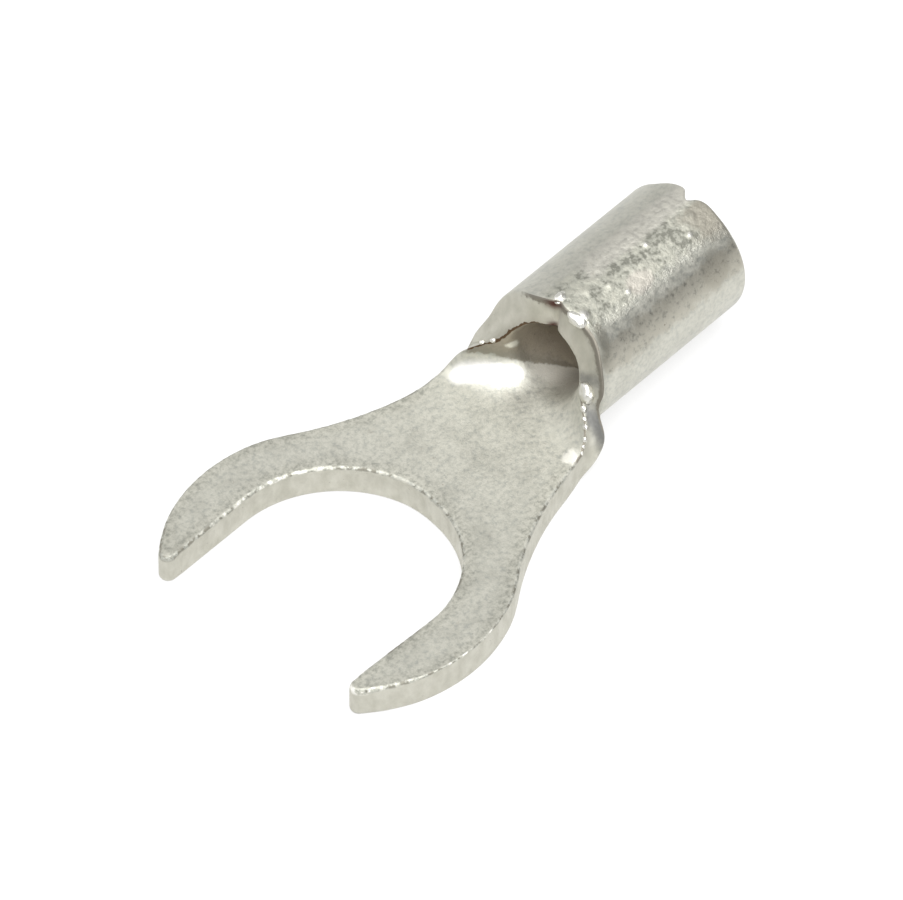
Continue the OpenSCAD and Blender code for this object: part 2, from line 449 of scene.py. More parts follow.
# brazing run over the seam, in degrees round the barrel from the left, and its lumps in mm
braze = {
    "turn": (64.0, 92.0, 112.0, 142.0),
    "along": (6.7, 6.95),
    "least": 0.01,  # thinner than this it is left out
    "fill": 0.012,
    # waves of its surface: height, waves per mm, place in the noise
    "waves": [(0.006, 2.6, (0, 0, 0)), (0.0042, 5.5, (4, 1, 7)), (0.007, 12, (9, 2, 3))],
    # beads of filler: x, degrees, radius, height
    "beads": [(6.92, 114.0, 0.16, 0.05), (7.04, 92.0, 0.14, 0.05), (8.32, 121.3, 0.08, 0.035),
              (8.09, 108.2, 0.1, 0.03), (9.48, 101.7, 0.08, 0.035), (10.46, 117.6, 0.08, 0.032),
              (7.6, 101.0, 0.1, 0.02), (9.05, 109.0, 0.08, 0.02), (10.8, 107.0, 0.09, 0.02)],
    "steepness": 1.6,
    "brightFrom": 0.03,  # beads higher than this shine
    "brightReach": (0.9, 0.5),
}

# pale spots of painted highlight on the inner face: x, s, radius, depth of the dent
highlightSpots = {
    "spots": [(5.46, -1.74, 0.2, 0.025), (6.7, 1.86, 0.15, 0.0)],
    "dentLayer": (0.2, 0.36),
    "paleLayer": (0.25, 0.36),
    "paleReach": (1.5, 0.3),
}

# small pulls on the corners of the neck: x, s, layer, radius, then the move in y
cornerPulls = {
    "pulls": [(6.41, -2.0, -0.38, 0.13, 0.13), (6.22, -1.97, -0.38, 0.13, -0.08),
              (5.72, -1.93, -0.38, 0.22, 0.05), (6.2, 2.0, -0.3, 0.14, -0.05)],
    "depth": 0.36,
}

x, s, n = sheet.T
around = np.degrees(np.where(s >= 0, s, s + fullTurn) / blank["midRadius"]) - 90
skin, outerSkin = (0.0, 0.3), (0.1, 0.34)  # layers over which a face is told from the wall
outside, inside, outer = reach(-n, skin), reach(n, skin), reach(-n, outerSkin)
brazeMask = reach(around, braze["turn"]) * reach(x, braze["along"])
lumps, shine, paleSpotHighlight = np.zeros(len(x)), np.zeros(len(x)), np.zeros(len(x))
for i in np.nonzero((brazeMask > braze["least"]) & (outside > braze["least"]))[0]:
    place = Vector((x[i], math.radians(around[i]) * outerRadius, 0))
    waves = sum(height * noise.noise(place * scale + Vector(shift))
                for height, scale, shift in braze["waves"])
    lumps[i] = brazeMask[i] * outside[i] * (waves + braze["fill"])
for beadX, beadTurn, radius, height in braze["beads"]:
    away = np.hypot(x - beadX, np.radians(around - beadTurn) * outerRadius) / radius
    lumps += outside * height * np.exp(-braze["steepness"] * away ** 2)
    if height > braze["brightFrom"]:
        shine = np.maximum(shine, outside * reach(away, braze["brightReach"]))
for spotX, spotS, radius, depth in highlightSpots["spots"]:
    away = np.hypot(x - spotX, s - spotS) / radius
    lumps -= reach(n, highlightSpots["dentLayer"]) * depth * np.exp(-away ** 2)
    paleSpotHighlight = np.maximum(paleSpotHighlight, reach(n, highlightSpots["paleLayer"]) * reach(away, highlightSpots["paleReach"]))
place3d = rollSheet(x, s, n - lumps)
for pullX, pullS, layer, radius, move in cornerPulls["pulls"]:
    away = ((x - pullX) ** 2 + (s - pullS) ** 2) / radius ** 2
    place3d[:, 1] += move * np.exp(-away - ((n - layer) / cornerPulls["depth"]) ** 2)
place3d[:, 2] = np.maximum(place3d[:, 2], 0.0)
print("stage: sheet rolled,", len(place3d), "points,", len(faces), "faces")

# drops of tin on the rims
tinDrops = {
    # x, s, layer, radius, how far drawn out, and its heading on the sheet in degrees
    "drops": [(6.75, -3.45, -0.34, 0.13, 1.7, 90), (6.88, -3.29, -0.37, 0.045, 1.0, 0),
              (7.03, -3.94, -0.36, 0.11, 1.3, 0), (7.17, -3.97, -0.38, 0.05, 1.6, 0),
              (6.46, -2.12, 0.18, 0.15, 1.5, 137), (6.25, -1.97, 0.33, 0.075, 1.0, 0),
              (6.13, -1.945, 0.345, 0.05, 1.0, 0), (6.04, -1.94, 0.345, 0.055, 1.2, 0),
              (5.89, -1.92, 0.35, 0.045, 1.4, 0), (5.79, -1.91, 0.355, 0.04, 1.0, 0),
              (5.68, -1.91, 0.36, 0.03, 1.5, 0), (6.42, 2.08, 0.35, 0.045, 1.4, 30),
              (6.26, 2.01, 0.35, 0.045, 1.3, 0)],
    "side": 8,  # quads along the side of the cube that each is made from
    "headingStep": 0.02,
    "uneven": [(0.3, 0.9, 7), (0.22, 1.9, 5)],  # strength, waves over the drop, shift per mm of its place
    "feel": (1.3, 0.03),  # faces within so many radii and mm tell which way is out
    "swell": 1.04,
    "flat": 0.3,
    "shine": 0.8,
}


def dropShape(side):
    # a cube's grid drawn out to a ball, all in quads
    grid = np.tan(np.linspace(-1, 1, side + 1) * math.pi / 4)
    u, v = (k.ravel() for k in np.meshgrid(grid, grid, indexing="ij"))
    one = np.ones(len(u))
    sides = ((u, v, one), (u, v, -one), (u, one, v), (u, -one, v), (one, u, v), (-one, u, v))
    corners = np.vstack([np.c_[k] for k in sides])
    cells = gridQuads(np.arange(len(u)).reshape(side + 1, side + 1))
    cells = np.vstack([cells + i * len(u) for i in range(len(sides))])
    _, first, back = np.unique(np.round(corners, 6), axis=0, return_index=True, return_inverse=True)
    ball = corners[first] / np.linalg.norm(corners[first], axis=1)[:, None]
    return ball, back.ravel()[cells]


ball, ballFaces = dropShape(tinDrops["side"])
corner = place3d[faces]
faceNormal = np.cross(corner[:, 2] - corner[:, 0], corner[:, 3] - corner[:, 1])
faceMiddle = corner.mean(1)
faceNormal *= np.sign((faceNormal * faceMiddle).sum())  # all pointing out of the sheet
dropX, dropS, dropLayer, dropRadius, dropStretch, dropTurn = np.array(tinDrops["drops"]).T
dropTurn = np.radians(dropTurn)
centres = rollSheet(dropX, dropS, dropLayer)
ahead = tinDrops["headingStep"]
drawn = rollSheet(dropX + ahead * np.cos(dropTurn), dropS + ahead * np.sin(dropTurn), dropLayer) - centres
drawn /= np.linalg.norm(drawn, axis=1)[:, None]
dropFaces = [ballFaces + len(place3d) + i * len(ball) for i in range(len(centres))]
dropPoints = []
for centre, axis, radius, stretch in zip(centres, drawn, dropRadius, dropStretch):
    uneven = np.array([1 + sum(strength * noise.noise(Vector(k * waves + centre * shift))
                               for strength, waves, shift in tinDrops["uneven"]) for k in ball])
    near = np.linalg.norm(faceMiddle - centre, axis=1) < tinDrops["feel"][0] * radius + tinDrops["feel"][1]
    outward = faceNormal[near].sum(0)
    outward /= np.linalg.norm(outward)
    shape = (ball + (ball @ axis)[:, None] * axis * (stretch - 1)) * tinDrops["swell"]
    shape -= (shape @ outward)[:, None] * outward * tinDrops["flat"]
    dropPoints.append(centre + shape * radius * uneven[:, None])
place3d, faces = np.vstack([place3d] + dropPoints), np.vstack([faces] + dropFaces)
print("stage: drops added,", len(dropPoints))

mesh = bpy.data.meshes.new("fork_terminal_dressed")
mesh.from_pydata((place3d * mm).tolist(), [], faces.tolist())
mesh.validate()
build = bmesh.new()
build.from_mesh(mesh)
bmesh.ops.recalc_face_normals(build, faces=build.faces)
build.to_mesh(mesh)
build.free()
mesh.polygons.foreach_set("use_smooth", np.ones(len(mesh.polygons), bool))
terminal = bpy.data.objects.new("fork_terminal_dressed", mesh)
scene.collection.objects.link(terminal)

# brown heat stain in the mouth of the barrel, deepened by painted shade on the steep wall and into the bore
stainAndShade = {
    # its edge runs down from the left rim, as (x, s) on the inner face
    "edge": [(5.9, 2.1), (6.0, 1.92), (6.06, 1.84), (6.14, 1.74), (6.22, 1.65), (6.31, 1.56), (6.42, 1.46),
             (6.53, 1.36), (6.7, 1.17), (6.88, 0.97), (7.07, 0.76), (7.31, 0.43), (7.55, 0.0), (7.8, -1.5),
             (8.0, -4.2)],
    "soft": 0.16,  # half width of its soft edge
    "mouthAlong": (6.85, 7.2),  # it also covers the right of the mouth
    "mouthAcross": (1.2, 1.9),
    "rimShare": 0.88,  # it is thinner along the rim
    "rimAlong": (6.25, 6.6),
    "line": (-0.8, 0.6),  # darker line of painted shade on its edge, in soft widths
    "lineFade": 2.2,
}

# single marks on the sheet, in mm along x and s
spots = {
    "paleBlotch": [(8.72, -3.27, 0.45, 0.24)],  # x, s, half length, half width
    # the first is a dark blotch, the second painted shade beside the right wing's front edge
    "darkBlotchAndShade": [(10.55, -2.62, 0.5, 0.4), (7.0, -2.95, 0.2, 0.3)],
    "paleReach": (1.2, 0.4),
    "darkReach": (1.3, 0.3),
    "highlightFrom": (5.72, 1.64),  # painted highlight: a bright streak along the left of the trough
    "highlightTo": (6.38, 0.92),
    "highlightReach": (0.38, 0.06),
    "gapTurn": (90.5, 6.5),  # open end of the seam: degrees and half width
    "gapAlong": (6.5, 7.5),
    "gapUnder": (0.05, 0.28),
    "gapOver": (0.16, 0.32),
    "shadeBand": (-2.31, 0.17, 0.6),  # shadow down the right of the front cut: s, half width, strength
    "shadeFrom": 6.3,
    "shadeCorner": (6.25, -1.98, 0.19),  # and in the corner under the right rim: x, s, radius
    "shadeLayer": (-0.36, -0.2),
    "slotGlint": 3.0,  # rims nearer the stud than this glint over these bearings
    "slotBearing": (20, 40, 100, 125),
    "tineGlint": 3.3,  # right rims further out than this glint
    "tineAlong": (1.2, 0.3),
    "tongueEnd": 6.2,  # the top of the tongue, where the way to the rim is measured
    "topLayer": 0.3,
    "tongueParts": 40,  # measured in so many parts, to save memory
    "farFromRim": 9.0,
    "creaseShadeLeft": 0.12,  # the painted shade along the crease under the front cut is weaker left of the seam
    "creaseShadeTurn": (46, 84),
    "troughEdge": 0.6,  # the painted shade in the right of the trough lifts by this towards the rim
    "troughAcross": (1.2, 1.7),
    "cutRight": 0.45,  # painted shade on the front cut: on the right, low on the left, and the layers it deepens over
    "cutLeft": 0.2,
    "cutLayer": (0.05, 0.36),
}


def blotch(name, span):
    return np.max([reach(np.hypot((x - atX) / halfX, (s - atS) / halfS), span)
                   for atX, atS, halfX, halfS in spots[name]], 0)


onInner = inside * (1 - wall)
stainAndShadeEdge = np.array(stainAndShade["edge"])
pastEdge = (s - np.interp(x, *stainAndShadeEdge.T)) / stainAndShade["soft"]
pastEdge = np.where(x < stainAndShadeEdge[0, 0], -1, pastEdge)
rightMouth = 2 * reach(x, stainAndShade["mouthAlong"]) * reach(-s, stainAndShade["mouthAcross"]) - 1
stainAndShadeCover = np.clip(np.maximum(pastEdge, rightMouth), -1, 1) * 0.5 + 0.5
rimShare = stainAndShade["rimShare"] + (1 - stainAndShade["rimShare"]) * reach(x, stainAndShade["rimAlong"])
lineFade = np.exp(-np.maximum(pastEdge - stainAndShade["line"][1], 0) / stainAndShade["lineFade"])
gapTurn, gapWidth = spots["gapTurn"]
gapFrom, gapTo = spots["gapAlong"]
gapLayers = np.maximum(reach(-n, spots["gapUnder"]), reach(n, spots["gapOver"]))
seamGap = np.exp(-((around - gapTurn) / gapWidth) ** 2) * (x > gapFrom) * (x < gapTo) * gapLayers
atFront = x < blank["midBarrel"]
bandS, bandWidth, bandShare = spots["shadeBand"]
shadeBand = bandShare * np.exp(-((s - bandS) / bandWidth) ** 2) * (x > spots["shadeFrom"]) * atFront
shadeX, shadeS, shadeRadius = spots["shadeCorner"]
shadeCorner = np.exp(-(np.hypot(x - shadeX, s - shadeS) / shadeRadius) ** 2)
shadeCorner *= reach(-n, spots["shadeLayer"])
# how far each point lies from the painted highlight streak, and each point of the tongue from the nearest
# rim
streakFrom = np.array(spots["highlightFrom"])
streak = np.array(spots["highlightTo"]) - streakFrom
fromStart = sheet[:, :2] - streakFrom
run = np.clip(fromStart @ streak / (streak ** 2).sum(), 0, 1)
toStreak = np.hypot(*(fromStart - run[:, None] * streak).T)
rimPoints = np.vstack([points[loop] for loop in loops])
toRim = np.full(len(x), spots["farFromRim"])
onTongue = np.nonzero((x < spots["tongueEnd"]) & (n > spots["topLayer"]))[0]
for part in np.array_split(onTongue, spots["tongueParts"]):
    away = sheet[part, None, :2] - rimPoints[None]
    toRim[part] = np.hypot(away[..., 0], away[..., 1]).min(1)
fromStud, bearing = np.hypot(x, s), np.degrees(np.arctan2(s, x))
slotGlint = (fromStud < spots["slotGlint"]) * reach(bearing, spots["slotBearing"])
tineGlint = (fromStud > spots["tineGlint"]) * (s < 0) * reach(x, spots["tineAlong"])

frontCreaseShade = spots["creaseShadeLeft"] + (1 - spots["creaseShadeLeft"]) * reach(around, spots["creaseShadeTurn"])
rightTroughShade = 1 - spots["troughEdge"] * reach(-s, spots["troughAcross"])
leftCutShade = spots["cutLeft"] + (1 - spots["cutLeft"]) * reach(n, spots["cutLayer"])
cutShadeShare = atFront * np.where(s > 0, leftCutShade, spots["cutRight"])

# each mark of the finish: what it lies on, then how far it reaches along x, across s or round the barrel
everywhere = np.ones(len(x))
axes = {"x": x, "left": s, "right": -s, "turn": around, "toRim": toRim, "toStreak": toStreak}
marks = {
    "tongueRim": (rim, {"x": (5.8, 5.4)}),
    "rimBand": ((1 - rim) * (1 - wall), {"toRim": (0.38, 0.03), "x": (5.5, 4.9)}),
    "glintMask": (np.maximum(slotGlint, tineGlint), {}),
    "brazeMask": (brazeMask * outside, {}),
    "wallMask": (wall, {}),
    # heat stain in the mouth, with painted shade on the steep wall and into the bore
    "stainAndShadeMask": (stainAndShadeCover * onInner * rimShare, {}),
    "stainAndShadeLine": (reach(pastEdge, stainAndShade["line"]) * lineFade * onInner, {}),
    # painted light: the inside of the bore is lightened
    "boreMask": (inside, {"x": (6.55, 7.1)}),
    "troughMask": (onInner, {"x": (5.5, 6.2, 6.6, 7.1), "left": (-0.4, 0.6)}),
    "rightRim": (rim, {"right": (1.6, 1.9), "x": (5.3, 5.6, 6.4, 6.6)}),
    "faceShade": (wall * np.maximum(shadeBand, shadeCorner), {}),
    "gapMask": (seamGap * np.maximum(wall, rim), {}),
    "brownRim": (rim, {"left": (1.75, 1.95), "x": (5.95, 6.1, 7.0, 7.2)}),
    # painted shade along the crease under the front cut
    "frontCreaseShade": (lowRim * frontCreaseShade, {"x": (6.1, 6.4, 7.2, 7.6)}),
    # beads and tin drops painted lighter: partly their own tin, partly painted highlight
    "beadShine": (shine, {}),
    # painted highlight: pale spots on the inner face
    "paleSpotHighlight": (paleSpotHighlight, {}),
    "barrelMask": (outside, {"x": (6.6, 6.9)}),
    "barrelStain": (outer, {"x": (6.6, 7.0), "turn": (134, 150, 156, 176)}),
    # painted shade: the head of the tongue is darkened
    "headShadeMask": (everywhere, {"x": (5.2, 1.5)}),
    # painted light: the inner face is lightened from the neck on
    "troughLightMask": (onInner, {"x": (5.5, 6.3)}),
    # painted shade in the right of the trough, near the mouth
    "rightTroughShade": (onInner * rightTroughShade, {"right": (-0.3, 0.4), "x": (6.15, 6.7, 7.3, 7.8)}),
    # painted highlight along the left of the trough
    "troughHighlight": (onInner, {"toStreak": spots["highlightReach"]}),
    # painted shade on the front cut
    "frontCutShade": (wall * cutShadeShare, {"x": (6.2, 6.5)}),
    "edgeShade": (outer, {"x": (6.3, 6.5, 6.86, 7.2), "right": (2.2, 2.6, 3.1, 3.5)}),
    # painted shade: the upper left of the barrel is darkened
    "leftPaintedShade": (outer, {"x": (6.6, 7.0), "turn": (10, 40, 68, 88)}),
    "paleBlotch": (outer * blotch("paleBlotch", spots["paleReach"]), {}),
    "darkBlotchAndShade": (outer * blotch("darkBlotchAndShade", spots["darkReach"]), {}),
    "seamPale": (outer, {"turn": (70, 84, 90, 104), "x": (7.4, 8.4)}),
    "rearStain": (outer, {"x": (10.0, 11.2), "turn": (96, 104, 122, 142)}),
}
for name, (values, spans) in marks.items():
    for axis, span in spans.items():
        values = values * reach(axes[axis], span)
    onDrops = np.full(len(place3d) - len(values), tinDrops["shine"] if name == "beadShine" else 0.0)
    attribute = mesh.attributes.new(name, "FLOAT", "POINT")
    attribute.data.foreach_set("value", np.r_[values, onDrops].astype(np.float32))
print("stage: marks laid,", len(marks))


def feed(tree, socket, value):
    # a socket takes another node's output, a colour or a number
    if hasattr(value, "node"):
        tree.links.new(value, socket)
    elif isinstance(value, tuple):
        socket.default_value = (*value, 1)
    else:
        socket.default_value = value


def addNode(tree, kind, **settings):
    node = tree.nodes.new(kind)
    for key, value in settings.items():
        setattr(node, key, value)
    return node


def spreadNodes(tree, perColumn=9):
    for i, node in enumerate(tree.nodes):
        node.location = (i // perColumn * 260, -(i % perColumn) * 280)


def noiseAt(tree, vector, scale, detail, rough):
    node = addNode(tree, "ShaderNodeTexNoise")
    for name, value in (("Vector", vector), ("Scale", scale), ("Detail", detail), ("Roughness", rough)):
        feed(tree, node.inputs[name], value)
    return node.outputs["Fac"]


def rampAt(tree, value, stops):
    node = addNode(tree, "ShaderNodeValToRGB")
    ramp = node.color_ramp
    while len(ramp.elements) < len(stops):
        ramp.elements.new(0.5)
    for element, (at, colour) in zip(ramp.elements, stops):
        element.position = at
        element.color = (*colour, 1)
    feed(tree, node.inputs["Fac"], value)
    return node.outputs["Color"]


def mixColour(tree, fac, first, second, kind="MIX"):
    node = addNode(tree, "ShaderNodeMix", data_type="RGBA", blend_type=kind)
    for name, value in (("Factor", fac), ("A", first), ("B", second)):
        feed(tree, node.inputs[name], value)
    return node.outputs["Result"]


def mathAt(tree, kind, *values):
    node = addNode(tree, "ShaderNodeMath", operation=kind)
    for socket, value in zip(node.inputs, values):
        feed(tree, socket, value)
    return node.outputs[0]


def rangeAt(tree, value, before, after=(0.0, 1.0), kind="LINEAR"):
    node = addNode(tree, "ShaderNodeMapRange", interpolation_type=kind)
    names = ("Value", "From Min", "From Max", "To Min", "To Max")
    for name, setting in zip(names, (value, *before, *after)):
        feed(tree, node.inputs[name], setting)
    return node.outputs["Result"]


def maskAt(tree, name):
    return addNode(tree, "ShaderNodeAttribute", attribute_name=name).outputs["Fac"]


tinFinish = {
    "base": (0.575, 0.57, 0.505),
    "dark": (0.47, 0.475, 0.43),
    "light": (0.645, 0.635, 0.57),
    "rimDark": (0.26, 0.25, 0.21),
    # painted glints on the rims
    "rimGlint": (0.88, 0.87, 0.83),
    "bandDark": (0.81, 0.805, 0.785),
    "bandLight": (0.98, 0.98, 0.975),
    # painted highlight of the pale spots
    "paleSpotHighlight": (0.8, 0.79, 0.73),
    "cloudDark": (0.86, 0.86, 0.855),
    "cloudLight": (1.0, 1.0, 1.0),
    # heat stain, partly painted shade
    "stainAndShade": (0.33, 0.3, 0.25),
    "stainAndShadeLine": (0.2, 0.2, 0.165),
    "rightRim": (0.3, 0.28, 0.235),
    "faceShade": (0.2, 0.2, 0.19),
    # painted bounce light inside the bore, and the stain lightened there
    "bore": (0.71, 0.69, 0.63),
    "boreStain": (0.515, 0.465, 0.385),
    # beads: lighter tin, partly painted highlight
    "bead": (0.74, 0.73, 0.68),
    # painted shade in the crease under the front cut
    "frontCreaseShade": (0.24, 0.225, 0.19),
    "wall": (0.58, 0.57, 0.505),
    "wallDark": (0.53, 0.52, 0.455),
    "wallLight": (0.63, 0.62, 0.555),
    "frostDark": (0.25, 0.25, 0.215),
    "frostMid": (0.395, 0.395, 0.345),
    "frostLight": (0.51, 0.505, 0.44),
    "gap": (0.1, 0.045, 0.035),
    "brownRim": (0.12, 0.08, 0.05),
    "rearStain": (0.35, 0.33, 0.28),
    "barrelStain": (0.43, 0.405, 0.335),
    "barrelSpot": (0.25, 0.235, 0.195),
    # painted shade darkening the head of the tongue
    "headPaintedShade": (0.89, 0.89, 0.895),
    # painted shade in the right of the trough
    "rightTroughShade": (0.7, 0.69, 0.67),
    # painted shade on the front cut
    "frontCutShade": (0.7, 0.685, 0.66),
    "edgeShade": (0.8, 0.8, 0.785),
    # painted shade on the upper left of the barrel
    "leftPaintedShade": (0.88, 0.88, 0.875),
    # painted highlight streak in the trough
    "troughHighlight": (0.88, 0.87, 0.85),
    "paleBlotch": (0.56, 0.53, 0.475),
    # dark blotches, one of them painted shade by the right wing's front edge
    "darkBlotchAndShade": (0.33, 0.32, 0.275),
    "seamPale": (0.62, 0.6, 0.55),
    # painted light on the inner face from the neck on
    "troughPaintedLight": (1.1, 1.1, 1.11),
    "rough": (0.62, 0.74),
    "roughOver": (0.3, 0.7),  # speck noise over which it goes from the one to the other
    "troughRough": -0.2,  # the bent trough is burnished
    "barrelRough": -0.27,  # the rolled barrel is smoother than the tongue
    "brazeRough": 0.2,
    "beadRough": 0.3,
    "grainRelief": 0.4,  # against that of the speck
    "brazeRelief": 3.0,
    "reliefStrength": 0.3,
    "reliefDepth": 0.00003,
}

# noises of the finish: waves per mm, detail, roughness
tinNoises = {
    "cloud": (1.3, 5, 0.62), "speck": (8.0, 5, 0.72), "grain": (24.0, 3, 0.6), "frost": (7.0, 4, 0.55),
    "patch": (3.0, 6, 0.7), "glint": (6.5, 3, 0.6), "shear": (3.6, 4, 0.6),
}
perMm = (1000, 1000, 1000)
perMmShear = (1000, 1000, 600)  # the cut walls are streaked upwards

# a noise swayed by others, each with its share
tinSways = {
    "mottle": ("frost", [("patch", 0.7), ("cloud", 0.5)]),
    "glintRuns": ("glint", [("cloud", 0.7)]),
    "streaks": ("shear", [("speck", 0.35)]),
}

# colours that follow a noise
tinRamps = {
    "tin": ("speck", [(0.35, "dark"), (0.5, "base"), (0.66, "light")]),
    "clouds": ("cloud", [(0.32, "cloudDark"), (0.56, "cloudLight")]),
    "frosted": ("mottle", [(0.36, "frostDark"), (0.44, "frostMid"), (0.64, "frostLight")]),
    "spotted": ("speck", [(0.36, "barrelSpot"), (0.46, "barrelStain")]),
    "cutWall": ("streaks", [(0.34, "wallDark"), (0.5, "wall"), (0.66, "wallLight")]),
    "rimBand": ("speck", [(0.36, "bandDark"), (0.56, "bandLight")]),
    "glintingRim": ("glintRuns", [(0.41, "rimDark"), (0.48, "dark"), (0.56, "base"), (0.63, "rimGlint")]),
    "dullRim": ("glintRuns", [(0.41, "rimDark"), (0.5, "dark"), (0.64, "light")]),
}

# layers of the finish from the lowest: mark, colour, blend, strength, then the noise that breaks up the
# mark's edge, how strongly it does, and half the softness of the edge
tinLayers = [
    ("headShadeMask", "headPaintedShade", "MULTIPLY", 1, None),
    ("troughLightMask", "troughPaintedLight", "MULTIPLY", 1, None),
    ("troughHighlight", "troughHighlight", "MIX", 1, ("patch", 0.5, 0.45)),
    ("brazeMask", "frosted", "MIX", 1, ("patch", 1.4, 0.3)),
    ("paleBlotch", "paleBlotch", "MIX", 0.8, ("patch", 1.2, 0.4)),
    ("seamPale", "seamPale", "MIX", 0.55, ("patch", 1.2, 0.4)),
    ("darkBlotchAndShade", "darkBlotchAndShade", "MIX", 0.7, ("speck", 1.8, 0.25)),
    ("barrelStain", "spotted", "MIX", 0.6, ("patch", 2.2, 0.3)),
    ("rearStain", "rearStain", "MIX", 0.9, ("patch", 1.5, 0.35)),
    ("wallMask", "cutWall", "MIX", 1, None),
    ("frontCutShade", "frontCutShade", "MULTIPLY", 1, None),
    ("edgeShade", "edgeShade", "MULTIPLY", 1, None),
    ("leftPaintedShade", "leftPaintedShade", "MULTIPLY", 1, None),
    ("rimBand", "rimBand", "MULTIPLY", 1, None),
    ("tongueRim", "rimWearAndGlint", "MIX", 1, None),
    ("boreMask", "bore", "MIX", 1, None),
    ("stainAndShadeMask", "mouthStainAndShade", "MIX", 1, ("speck", 1.3, 0.15)),
    ("stainAndShadeLine", "stainAndShadeLine", "MIX", 0.5, ("speck", 1.3, 0.45)),
    ("rightTroughShade", "rightTroughShade", "MULTIPLY", 1, None),
    ("paleSpotHighlight", "paleSpotHighlight", "MIX", 1, ("speck", 1.2, 0.4)),
    ("faceShade", "faceShade", "MIX", 1, ("patch", 0.8, 0.5)),
    ("rightRim", "rightRim", "MIX", 1, ("speck", 1.6, 0.3)),
    ("brownRim", "brownRim", "MIX", 1, ("speck", 2.4, 0.12)),
    ("frontCreaseShade", "frontCreaseShade", "MIX", 1, ("speck", 1.1, 0.2)),
    ("gapMask", "gap", "MIX", 1, None),
    ("beadShine", "bead", "MIX", 1, None),
]


def makeTin():
    material = bpy.data.materials.new("satin_tin_plate")
    material.use_nodes = True
    tree = material.node_tree
    shader = tree.nodes["Principled BSDF"]
    coords = addNode(tree, "ShaderNodeTexCoord")

    def scaled(scale):
        node = addNode(tree, "ShaderNodeMapping")
        node.inputs["Scale"].default_value = scale
        tree.links.new(coords.outputs["Object"], node.inputs["Vector"])
        return node.outputs["Vector"]

    # the value lifted or lowered by a noise about its middle
    def swayed(value, by, share):
        return mathAt(tree, "MULTIPLY_ADD", mathAt(tree, "SUBTRACT", by, 0.5), share, value)

    plain, upright = scaled(perMm), scaled(perMmShear)
    noises = {}
    for name, sizes in tinNoises.items():
        noises[name] = noiseAt(tree, upright if name == "shear" else plain, *sizes)
    for name, (first, others) in tinSways.items():
        noises[name] = noises[first]
        for other, share in others:
            noises[name] = swayed(noises[name], noises[other], share)
    paints = dict(tinFinish)
    for name, (by, stops) in tinRamps.items():
        paints[name] = rampAt(tree, noises[by], [(at, tinFinish[key]) for at, key in stops])
    # rims: dark worn lines, with painted glints where glintMask lies
    paints["rimWearAndGlint"] = mixColour(tree, maskAt(tree, "glintMask"), paints["dullRim"], paints["glintingRim"])
    paints["mouthStainAndShade"] = mixColour(tree, maskAt(tree, "boreMask"), paints["stainAndShade"], paints["boreStain"])
    colour = mixColour(tree, 1.0, paints["tin"], paints["clouds"], "MULTIPLY")
    cover = {}
    for name, paint, blend, strength, edge in tinLayers:
        cover[name] = maskAt(tree, name)
        if edge:
            by, share, soft = edge
            cover[name] = rangeAt(tree, swayed(cover[name], noises[by], share), (0.5 - soft, 0.5 + soft),
                                  kind="SMOOTHSTEP")
        if strength < 1:
            cover[name] = mathAt(tree, "MULTIPLY", cover[name], strength)
        colour = mixColour(tree, cover[name], colour, paints[paint], blend)
    tree.links.new(colour, shader.inputs["Base Color"])
    rough = rangeAt(tree, noises["speck"], tinFinish["roughOver"], tinFinish["rough"])
    for part in ("barrel", "trough", "braze"):
        name = part + "Mask"
        fac = cover[name] if name in cover else maskAt(tree, name)
        rough = mathAt(tree, "MULTIPLY_ADD", fac, tinFinish[part + "Rough"], rough)
    rough = rangeAt(tree, cover["beadShine"], (0.0, 1.0), (rough, tinFinish["beadRough"]))
    tree.links.new(rough, shader.inputs["Roughness"])
    height = mathAt(tree, "MULTIPLY_ADD", noises["grain"], tinFinish["grainRelief"], noises["speck"])
    brazed = mathAt(tree, "MULTIPLY", noises["frost"], cover["brazeMask"])
    height = mathAt(tree, "MULTIPLY_ADD", brazed, tinFinish["brazeRelief"], height)
    bump = addNode(tree, "ShaderNodeBump")
    bump.inputs["Strength"].default_value = tinFinish["reliefStrength"]
    bump.inputs["Distance"].default_value = tinFinish["reliefDepth"]
    tree.links.new(height, bump.inputs["Height"])
    tree.links.new(bump.outputs["Normal"], shader.inputs["Normal"])
    shader.inputs["Metallic"].default_value = 1.0
    spreadNodes(tree)
    return material


mesh.materials.append(makeTin())
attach(terminal, "root")
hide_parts("fork_terminal")
print("stage: terminal dressed")


studio = {
    "floorSize": 0.9,
    "floorHeight": -0.00001,
    "floorColour": 0.3,
    "floorGlow": 0.66,
    "horizon": 0.15,
    "leftHorizon": 1.0,
    "wall": 0.66,
    "top": 0.85,
    "skyStops": (0.0, 0.25, 0.62, 1.0),  # horizon twice, wall, top
    "leftward": (-0.2, 0.6),  # over which the left horizon takes over
    "lampPlace": (-90, -135, 290),  # mm
    "lampAim": (5, 0, 1),
    "lampSize": 0.4,
    "lampPower": 2.1,
}


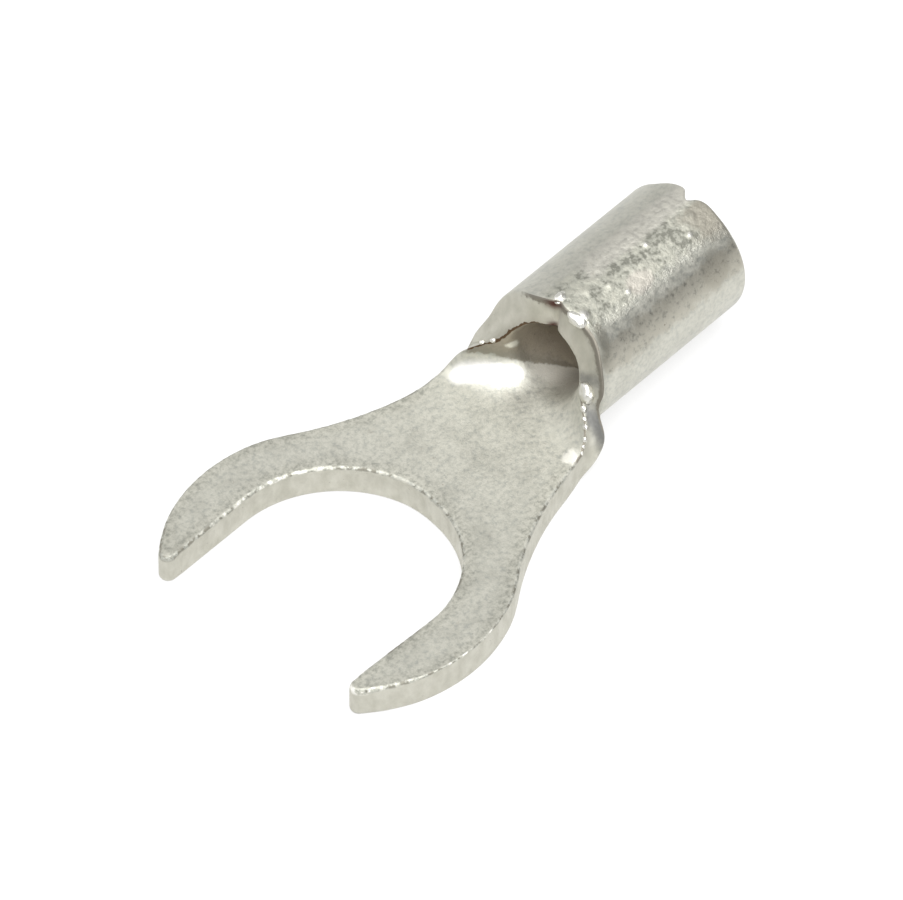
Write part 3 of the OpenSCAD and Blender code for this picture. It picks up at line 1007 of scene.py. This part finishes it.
def makeFloor():
    size = studio["floorSize"]
    data = bpy.data.meshes.new("studio_floor")
    corners = [(-size, -size), (size, -size), (size, size), (-size, size)]
    data.from_pydata([(*corner, studio["floorHeight"]) for corner in corners], [], [(0, 1, 2, 3)])
    floor = bpy.data.objects.new("studio_floor", data)
    scene.collection.objects.link(floor)
    material = bpy.data.materials.new("white_table")
    material.use_nodes = True
    tree = material.node_tree
    tree.nodes.clear()
    output = addNode(tree, "ShaderNodeOutputMaterial")
    paint = addNode(tree, "ShaderNodeBsdfDiffuse")
    paint.inputs["Color"].default_value = (*[studio["floorColour"]] * 3, 1)
    glow = addNode(tree, "ShaderNodeEmission")
    light = addNode(tree, "ShaderNodeLightPath")
    seen = mathAt(tree, "MAXIMUM", light.outputs["Is Camera Ray"], light.outputs["Is Glossy Ray"])
    seen = mathAt(tree, "MAXIMUM", seen, light.outputs["Is Transmission Ray"])
    tree.links.new(mathAt(tree, "MULTIPLY", seen, studio["floorGlow"]), glow.inputs["Strength"])
    both = addNode(tree, "ShaderNodeAddShader")
    tree.links.new(paint.outputs[0], both.inputs[0])
    tree.links.new(glow.outputs[0], both.inputs[1])
    tree.links.new(both.outputs[0], output.inputs["Surface"])
    spreadNodes(tree)
    data.materials.append(material)


def makeWorld():
    world = bpy.data.worlds.new("studio_room")
    scene.world = world
    world.use_nodes = True
    tree = world.node_tree
    back = tree.nodes["Background"]
    coords = addNode(tree, "ShaderNodeTexCoord")
    split = addNode(tree, "ShaderNodeSeparateXYZ")
    tree.links.new(coords.outputs["Generated"], split.inputs[0])
    skies = []
    for horizon in ("horizon", "leftHorizon"):
        greys = [(studio[key],) * 3 for key in (horizon, horizon, "wall", "top")]
        skies.append(rampAt(tree, split.outputs["Z"], list(zip(studio["skyStops"], greys))))
    leftward = rangeAt(tree, split.outputs["Y"], studio["leftward"], kind="SMOOTHSTEP")
    tree.links.new(mixColour(tree, leftward, *skies), back.inputs["Color"])
    back.inputs["Strength"].default_value = 1.0
    spreadNodes(tree)


def addLamp():
    data = bpy.data.lights.new("front_softbox", "AREA")
    data.shape = "RECTANGLE"
    data.size = data.size_y = studio["lampSize"]
    data.energy = studio["lampPower"]
    lamp = bpy.data.objects.new("front_softbox", data)
    place = Vector(studio["lampPlace"])
    lamp.location = place * mm
    lamp.rotation_euler = (place - Vector(studio["lampAim"])).to_track_quat("Z", "Y").to_euler()
    scene.collection.objects.link(lamp)


makeFloor()
makeWorld()
addLamp()
print("stage: studio lit")


# the photo's camera, in mm, degrees and pixels
camera = {
    "azimuth": -48.968, "elevation": 46.136, "roll": 0.363, "distance": 227.27,
    "target": (4.0, 0.0, 1.0), "pixelsPerMm": 46.93335, "centre": (464.031, 448.214),
    "pixels": (903, 900), "sensor": 36, "clip": (0.01, 10),
}


def makeCamera():
    width, height = camera["pixels"]
    a, e, r = (math.radians(camera[k]) for k in ("azimuth", "elevation", "roll"))
    back = Vector((math.sin(a) * math.cos(e), -math.cos(a) * math.cos(e), math.sin(e)))
    side = Vector((math.cos(a), math.sin(a), 0))
    up = back.cross(side)
    side, up = side * math.cos(r) + up * math.sin(r), up * math.cos(r) - side * math.sin(r)
    eye = (Vector(camera["target"]) + back * camera["distance"]) * mm
    data = bpy.data.cameras.new("photo_camera")
    data.sensor_width = camera["sensor"]
    data.lens = camera["pixelsPerMm"] * camera["distance"] * data.sensor_width / width
    data.shift_x = (width / 2 - camera["centre"][0]) / width
    data.shift_y = (camera["centre"][1] - height / 2) / width
    data.clip_start, data.clip_end = camera["clip"]
    view = bpy.data.objects.new("photo_camera", data)
    view.matrix_world = Matrix([(*row, at) for row, at in zip(zip(side, up, back), eye)] + [(0, 0, 0, 1)])
    scene.collection.objects.link(view)
    scene.camera = view


makeCamera()
print("stage: camera placed")

bpy.context.view_layer.update()
